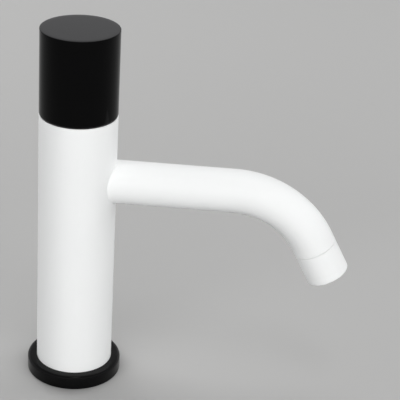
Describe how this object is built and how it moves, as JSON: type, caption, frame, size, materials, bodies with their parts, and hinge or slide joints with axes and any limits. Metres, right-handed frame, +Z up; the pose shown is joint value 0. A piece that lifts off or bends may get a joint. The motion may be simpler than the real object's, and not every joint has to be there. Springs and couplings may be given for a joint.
{
  "type": "basin mixer tap",
  "caption": "Tall single-control basin mixer tap: round body on a base ring, flush turning knob on top, round spout bent down to an aerated outlet.",
  "frame": {"origin": "centre of the gasket's underside, on the body's axis, in the plane of the deck", "axes": "+Z up along the body, +X the way the spout points, +Y the cold side"},
  "size_m": [0.1864, 0.056, 0.2172],
  "materials": {
    "rubber_seal": "matt black rubber",
    "black_satin_paint": "satin black enamel",
    "black_gloss_paint": "gloss black enamel",
    "white_satin_paint": "satin white enamel",
    "brass": "turned brass",
    "stainless_tube": "drawn stainless tube",
    "black_plastic": "matt black acetal",
    "white_plastic": "natural acetal",
    "ceramic_disc": "lapped alumina",
    "steel_screw": "stainless screw"
  },
  "bodies": {
    "tap_body": {"base_gasket": "rubber_seal", "base_ring": "black_satin_paint", "base_plug": "brass", "body_shell": "white_satin_paint", "cold_riser": "stainless_tube", "hot_riser": "stainless_tube", "riser_o_rings": "rubber_seal", "valve_core": "brass", "cartridge_base": "white_plastic", "port_seals": "rubber_seal", "disc_seals": "rubber_seal", "fixed_disc": "ceramic_disc", "cartridge_housing": "white_plastic", "stop_ring": "black_plastic", "retaining_nut": "brass", "glide_ring": "black_plastic", "spout_tube": "white_satin_paint", "spout_spigot": "brass", "spigot_o_rings": "rubber_seal", "spout_lock_screw": "steel_screw", "aerator_sleeve": "white_satin_paint", "sleeve_o_ring": "rubber_seal", "aerator_seal": "rubber_seal", "aerator_housing": "white_plastic", "aerator_strainer": "white_plastic", "flow_restrictor": "white_plastic", "aerator_grid": "white_plastic"},
    "knob": {"knob_shell": "black_gloss_paint", "knob_adaptor": "brass", "adaptor_screw": "steel_screw", "knob_grub_screw": "steel_screw", "spindle": "brass", "spindle_o_rings": "rubber_seal", "thrust_washer": "white_plastic", "disc_carrier": "white_plastic", "turning_disc": "ceramic_disc"}
  },
  "joints": [
    {"name": "knob_turn", "type": "hinge", "parent": "tap_body", "child": "knob", "pos_m": [0, 0, 0.19], "axis": [0, 0, 1], "range_deg": [0, 110]}
  ]
}
